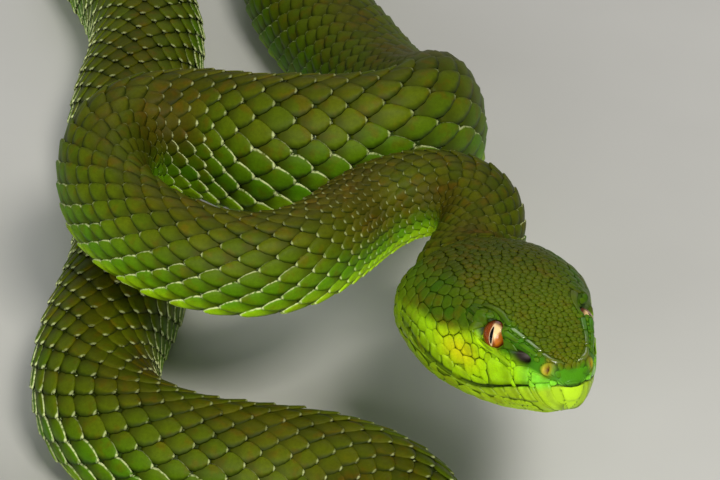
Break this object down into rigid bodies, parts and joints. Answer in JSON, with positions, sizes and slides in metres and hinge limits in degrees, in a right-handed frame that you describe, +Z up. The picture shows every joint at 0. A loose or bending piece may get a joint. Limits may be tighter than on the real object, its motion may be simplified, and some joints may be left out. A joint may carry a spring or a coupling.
{
  "type": "coiled green pit viper, life-size still model",
  "caption": "Green pit viper lying in loose coils with its front part raised in an S and its head held forward.",
  "frame": {"origin": "middle of the snake's outline seen from above, on the floor", "axes": "+Z up, -Y is the side the head faces, +X to the right of a viewer whom the head faces"},
  "size_m": [0.1092, 0.2312, 0.0448],
  "materials": {
    "head_scales": "fine matt green head scales",
    "lip_scales": "smooth yellow-green lip and chin plates",
    "eye": "wet copper iris with an upright slit pupil",
    "body_scales": "keeled green scales with pale edges, faintly waxy",
    "tail_scales": "small green scales, duller above"
  },
  "bodies": {
    "root": {"head": "head_scales", "lower_jaw": "lip_scales", "eye_left": "eye", "eye_right": "eye", "neck": "body_scales", "trunk_01_front_run": "body_scales", "trunk_02_left_bend": "body_scales", "trunk_03_far_run": "body_scales", "trunk_04_right_bend": "body_scales", "trunk_05_slope": "body_scales", "trunk_06_back_right": "body_scales", "trunk_07_back_left": "body_scales", "trunk_08_back_turn": "body_scales", "trunk_09_left_side": "body_scales", "trunk_10_under_bend": "body_scales", "trunk_11_near_corner": "body_scales", "trunk_12_near_run": "body_scales", "trunk_13_near_turn": "body_scales", "trunk_14_vent": "body_scales", "tail_base": "tail_scales", "tail_tip": "tail_scales"}
  },
  "joints": []
}
